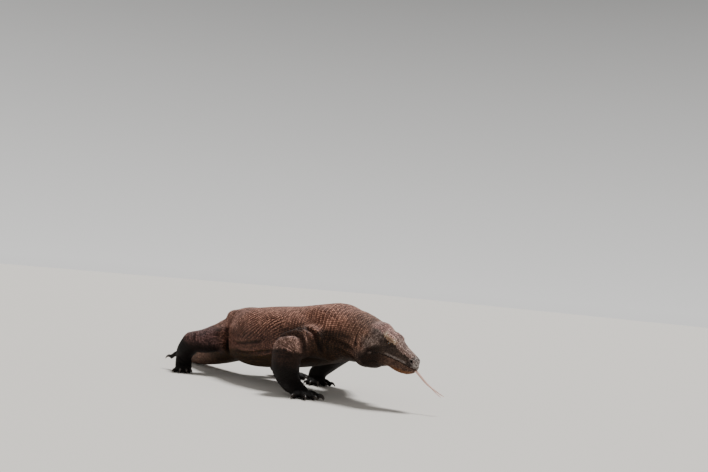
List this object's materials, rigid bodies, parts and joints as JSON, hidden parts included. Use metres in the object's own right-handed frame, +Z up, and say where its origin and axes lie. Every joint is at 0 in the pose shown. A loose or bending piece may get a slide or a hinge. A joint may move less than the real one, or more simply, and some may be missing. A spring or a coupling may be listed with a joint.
{
  "type": "komodo dragon",
  "caption": "Life-size adult Komodo dragon in mid-stride, head low, forked tongue out, long tail lying on the floor and curving to its left; stands on its four feet.",
  "frame": {"origin": "on the floor under the middle of the bounding box", "axes": "+X forward along the trunk, the way the animal walks; +Y to the animal's left; +Z up"},
  "size_m": [2.183, 1.0068, 0.3529],
  "materials": {
    "body_skin": "beaded scales, satin",
    "leg_skin": "beaded scales, satin",
    "claw_horn": "polished horn",
    "wet_eye": "wet gloss",
    "moist_tongue": "moist"
  },
  "bodies": {
    "root": {"eye_left": "wet_eye", "eye_right": "wet_eye", "head": "body_skin", "left_foot": "leg_skin", "left_foot_claw_1": "claw_horn", "left_foot_claw_2": "claw_horn", "left_foot_claw_3": "claw_horn", "left_foot_claw_4": "claw_horn", "left_foot_claw_5": "claw_horn", "left_forearm": "leg_skin", "left_hand": "leg_skin", "left_hand_claw_1": "claw_horn", "left_hand_claw_2": "claw_horn", "left_hand_claw_3": "claw_horn", "left_hand_claw_4": "claw_horn", "left_hand_claw_5": "claw_horn", "left_shank": "leg_skin", "left_thigh": "leg_skin", "left_upper_arm": "leg_skin", "lower_jaw": "body_skin", "neck": "body_skin", "right_foot": "leg_skin", "right_foot_claw_1": "claw_horn", "right_foot_claw_2": "claw_horn", "right_foot_claw_3": "claw_horn", "right_foot_claw_4": "claw_horn", "right_foot_claw_5": "claw_horn", "right_forearm": "leg_skin", "right_hand": "leg_skin", "right_hand_claw_1": "claw_horn", "right_hand_claw_2": "claw_horn", "right_hand_claw_3": "claw_horn", "right_hand_claw_4": "claw_horn", "right_hand_claw_5": "claw_horn", "right_shank": "leg_skin", "right_thigh": "leg_skin", "right_upper_arm": "leg_skin", "tail_1": "body_skin", "tail_2": "body_skin", "tail_3": "body_skin", "tail_4": "body_skin", "tongue": "moist_tongue", "trunk": "body_skin"}
  },
  "joints": []
}
